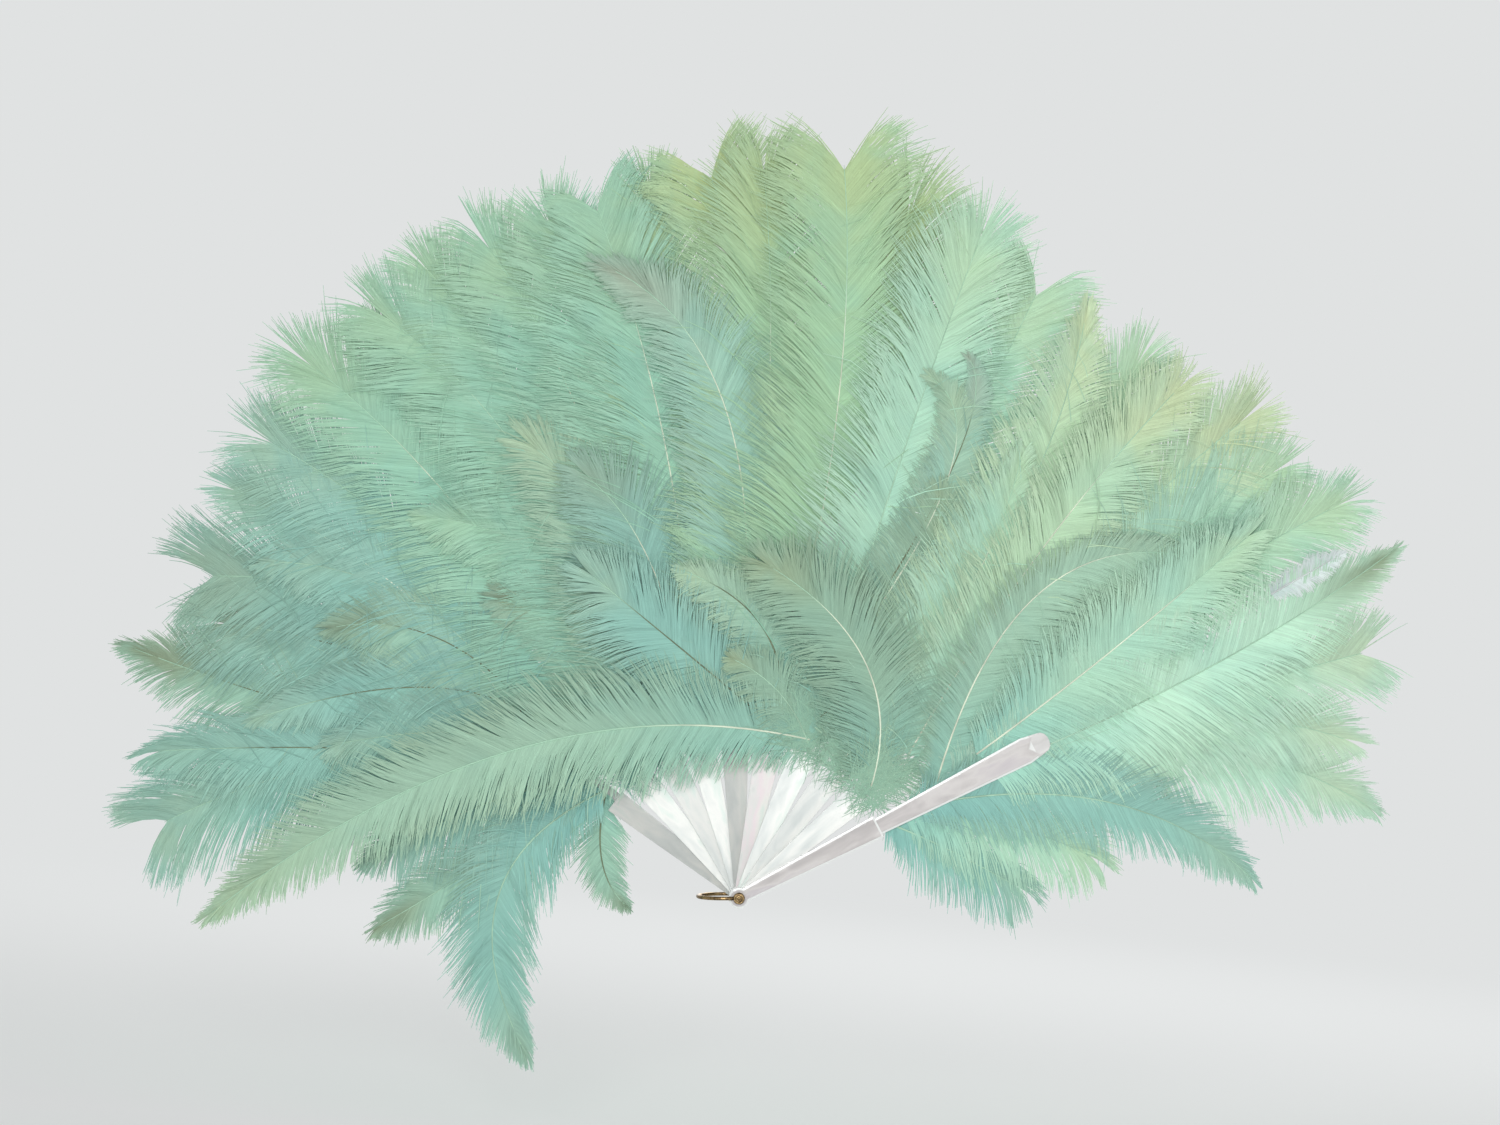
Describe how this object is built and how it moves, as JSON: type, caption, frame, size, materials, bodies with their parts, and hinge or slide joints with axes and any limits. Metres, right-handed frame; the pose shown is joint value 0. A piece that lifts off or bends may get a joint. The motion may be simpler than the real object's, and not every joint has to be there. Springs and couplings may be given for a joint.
{
  "type": "feather fan",
  "caption": "Open folding fan of pale green ostrich plumes on mother-of-pearl sticks and carved guards, turning on a brass rivet with a small wire loop.",
  "frame": {"origin": "on the rivet's axis, halfway through the stack of blades", "axes": "+Z along the middle of the open fan, away from the rivet; -Y out of the front face; +X to the right seen from the front"},
  "size_m": [0.6403, 0.0305, 0.4874],
  "materials": {
    "mother_of_pearl": "polished shell with a faint pink and green sheen",
    "brass": "aged, soft shine",
    "plume_mint": "soft ostrich barbs, mint green",
    "plume_sage": "soft ostrich barbs, grey green",
    "plume_aqua": "soft ostrich barbs, blue green"
  },
  "bodies": {
    "rivet": {"rivet_pin": "brass", "rivet_burr": "brass"},
    "front_guard_leaf": {"front_guard": "mother_of_pearl", "front_guard_plume_1": "plume_mint", "front_guard_plume_2": "plume_mint", "front_guard_plume_3": "plume_mint", "front_guard_plume_4": "plume_mint", "front_guard_plume_5": "plume_aqua", "front_guard_plume_6": "plume_aqua", "front_guard_plume_7": "plume_aqua", "front_guard_arched_plume": "plume_sage"},
    "stick_1_leaf": {"stick_1": "mother_of_pearl", "stick_1_front_plume": "plume_sage", "stick_1_high_plume": "plume_mint", "stick_1_low_plume": "plume_mint", "stick_1_back_plume": "plume_mint"},
    "stick_2_leaf": {"stick_2": "mother_of_pearl", "stick_2_front_plume": "plume_sage", "stick_2_middle_plume": "plume_mint", "stick_2_back_plume": "plume_mint"},
    "stick_3_leaf": {"stick_3": "mother_of_pearl", "stick_3_front_plume": "plume_sage", "stick_3_sweeping_plume": "plume_aqua", "stick_3_middle_plume": "plume_mint", "stick_3_small_plume": "plume_aqua", "stick_3_back_plume": "plume_mint"},
    "stick_4_leaf": {"stick_4": "mother_of_pearl", "stick_4_front_plume": "plume_aqua", "stick_4_middle_plume": "plume_mint", "stick_4_back_plume": "plume_mint"},
    "stick_5_leaf": {"stick_5": "mother_of_pearl", "stick_5_front_plume": "plume_sage", "stick_5_middle_plume": "plume_mint", "stick_5_back_plume": "plume_mint"},
    "stick_6_leaf": {"stick_6": "mother_of_pearl", "stick_6_front_plume": "plume_sage", "stick_6_middle_plume": "plume_mint", "stick_6_back_plume": "plume_mint"},
    "stick_7_leaf": {"stick_7": "mother_of_pearl", "stick_7_front_plume": "plume_sage", "stick_7_middle_plume": "plume_mint", "stick_7_back_plume": "plume_mint"},
    "stick_8_leaf": {"stick_8": "mother_of_pearl", "stick_8_front_plume": "plume_aqua", "stick_8_middle_plume": "plume_mint", "stick_8_back_plume": "plume_mint"},
    "back_guard_leaf": {"back_guard": "mother_of_pearl", "back_guard_plume_1": "plume_aqua", "back_guard_plume_2": "plume_aqua", "back_guard_plume_3": "plume_aqua", "back_guard_plume_4": "plume_aqua", "back_guard_plume_5": "plume_aqua", "back_guard_plume_6": "plume_aqua", "back_guard_plume_7": "plume_aqua", "back_guard_plume_8": "plume_aqua", "back_guard_plume_9": "plume_aqua"},
    "loop": {"wire_loop": "brass"}
  },
  "joints": [
    {"name": "fan_fold", "type": "hinge", "parent": "rivet", "child": "front_guard_leaf", "pos_m": [0, 0, 0], "axis": [0, -1, 0], "range_deg": [0, 57.9]},
    {"name": "stick_1_fold", "type": "hinge", "parent": "rivet", "child": "stick_1_leaf", "pos_m": [0, 0, 0], "axis": [0, -1, 0], "range_deg": [0, 45.04]},
    {"name": "stick_2_fold", "type": "hinge", "parent": "rivet", "child": "stick_2_leaf", "pos_m": [0, 0, 0], "axis": [0, -1, 0], "range_deg": [0, 32.17]},
    {"name": "stick_3_fold", "type": "hinge", "parent": "rivet", "child": "stick_3_leaf", "pos_m": [0, 0, 0], "axis": [0, -1, 0], "range_deg": [0, 19.3]},
    {"name": "stick_4_fold", "type": "hinge", "parent": "rivet", "child": "stick_4_leaf", "pos_m": [0, 0, 0], "axis": [0, -1, 0], "range_deg": [0, 6.44]},
    {"name": "stick_5_fold", "type": "hinge", "parent": "rivet", "child": "stick_5_leaf", "pos_m": [0, 0, 0], "axis": [0, -1, 0], "range_deg": [-6.44, 0]},
    {"name": "stick_6_fold", "type": "hinge", "parent": "rivet", "child": "stick_6_leaf", "pos_m": [0, 0, 0], "axis": [0, -1, 0], "range_deg": [-19.3, 0]},
    {"name": "stick_7_fold", "type": "hinge", "parent": "rivet", "child": "stick_7_leaf", "pos_m": [0, 0, 0], "axis": [0, -1, 0], "range_deg": [-32.17, 0]},
    {"name": "stick_8_fold", "type": "hinge", "parent": "rivet", "child": "stick_8_leaf", "pos_m": [0, 0, 0], "axis": [0, -1, 0], "range_deg": [-45.04, 0]},
    {"name": "back_guard_fold", "type": "hinge", "parent": "rivet", "child": "back_guard_leaf", "pos_m": [0, 0, 0], "axis": [0, -1, 0], "range_deg": [-57.9, 0]},
    {"name": "loop_swing", "type": "hinge", "parent": "rivet", "child": "loop", "pos_m": [0, 0, 0], "axis": [0, 1, 0], "range_deg": [-187, 17]}
  ],
  "couplings": [
    {"joint": "stick_1_fold", "follows": "fan_fold", "ratio": 0.77778},
    {"joint": "stick_2_fold", "follows": "fan_fold", "ratio": 0.55556},
    {"joint": "stick_3_fold", "follows": "fan_fold", "ratio": 0.33333},
    {"joint": "stick_4_fold", "follows": "fan_fold", "ratio": 0.11111},
    {"joint": "stick_5_fold", "follows": "fan_fold", "ratio": -0.11111},
    {"joint": "stick_6_fold", "follows": "fan_fold", "ratio": -0.33333},
    {"joint": "stick_7_fold", "follows": "fan_fold", "ratio": -0.55556},
    {"joint": "stick_8_fold", "follows": "fan_fold", "ratio": -0.77778},
    {"joint": "back_guard_fold", "follows": "fan_fold", "ratio": -1}
  ]
}
